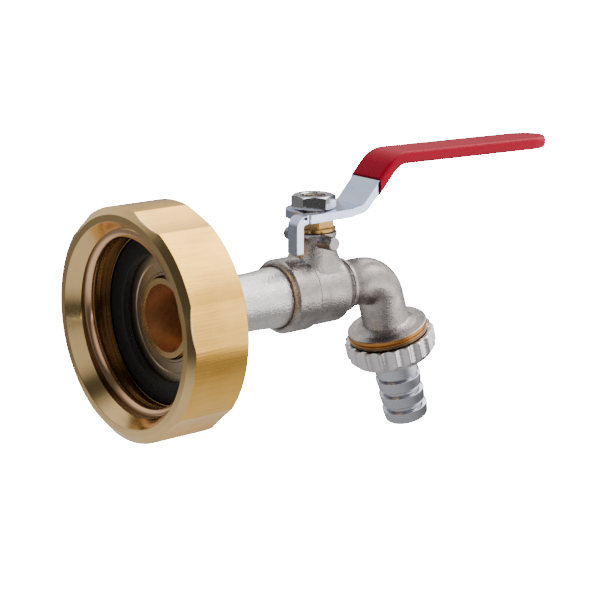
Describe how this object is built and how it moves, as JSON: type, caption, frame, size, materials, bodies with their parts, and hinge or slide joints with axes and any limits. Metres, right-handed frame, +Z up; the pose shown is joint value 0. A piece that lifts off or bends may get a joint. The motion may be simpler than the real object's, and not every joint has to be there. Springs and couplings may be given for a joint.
{
  "type": "tank outlet ball valve",
  "caption": "Lever ball valve with a coarse-thread coupling nut for a liquid tank outlet, a curved spout and a screwed-on barbed hose tail.",
  "frame": {"origin": "centre of the coupling nut's front face, on the pipe axis", "axes": "+X along the pipe from the tank towards the spout, +Z up along the valve stem"},
  "size_m": [0.1841, 0.075, 0.0988],
  "materials": {
    "coupling_nut": "turned brass, fine machining marks",
    "tank_gasket": "matt black rubber",
    "adapter_flange": "turned brass, shaded",
    "tail_seal": "matt black rubber",
    "inlet_tail": "brass with satin nickel plate",
    "valve_body": "cast brass, blasted and nickel plated",
    "ball": "polished chrome plate on brass",
    "ball_seat_inlet": "white sealing plastic",
    "ball_seat_outlet": "white sealing plastic",
    "stem": "turned brass",
    "stem_thrust_washer": "white sealing plastic",
    "stem_o_ring": "black rubber",
    "stem_packing": "white sealing plastic",
    "gland_nut": "turned brass",
    "lever": "bright blue-white zinc plate on steel",
    "lever_grip": "dipped red vinyl, semi-gloss",
    "lever_nut": "zinc plate on steel",
    "hose_union_nut": "brass with satin nickel plate",
    "hose_washer": "black rubber",
    "hose_tail": "chrome plate on brass"
  },
  "bodies": {
    "valve": {"valve_body": "valve_body", "inlet_tail": "inlet_tail", "adapter_flange": "adapter_flange", "tank_gasket": "tank_gasket", "tail_seal": "tail_seal", "ball_seat_inlet": "ball_seat_inlet", "ball_seat_outlet": "ball_seat_outlet", "stem_thrust_washer": "stem_thrust_washer", "stem_o_ring": "stem_o_ring", "stem_packing": "stem_packing", "gland_nut": "gland_nut"},
    "handle": {"lever": "lever", "lever_grip": "lever_grip", "lever_nut": "lever_nut", "stem": "stem", "ball": "ball"},
    "nut": {"coupling_nut": "coupling_nut"},
    "hose_end": {"hose_tail": "hose_tail", "hose_washer": "hose_washer"},
    "union": {"hose_union_nut": "hose_union_nut"}
  },
  "joints": [
    {"name": "lever_turn", "type": "hinge", "parent": "valve", "child": "handle", "pos_m": [0.07714, 0, 0.0266], "axis": [0, 0, 1], "range_deg": [-90, 0]},
    {"name": "nut_spin", "type": "hinge", "parent": "valve", "child": "nut", "pos_m": [0.012, 0, 0], "axis": [1, 0, 0], "continuous": true},
    {"name": "hose_slide", "type": "slide", "parent": "valve", "child": "hose_end", "axis": [0.284, 0, -0.9588], "range_m": [0, 0.0051]},
    {"name": "union_turn", "type": "hinge", "parent": "hose_end", "child": "union", "pos_m": [0.1106, 0, -0.01735], "axis": [0.284, 0, -0.9588], "range_deg": [0, 990]}
  ],
  "couplings": [
    {"joint": "hose_slide", "follows": "union_turn", "m_per_rad": 0.0002887}
  ]
}
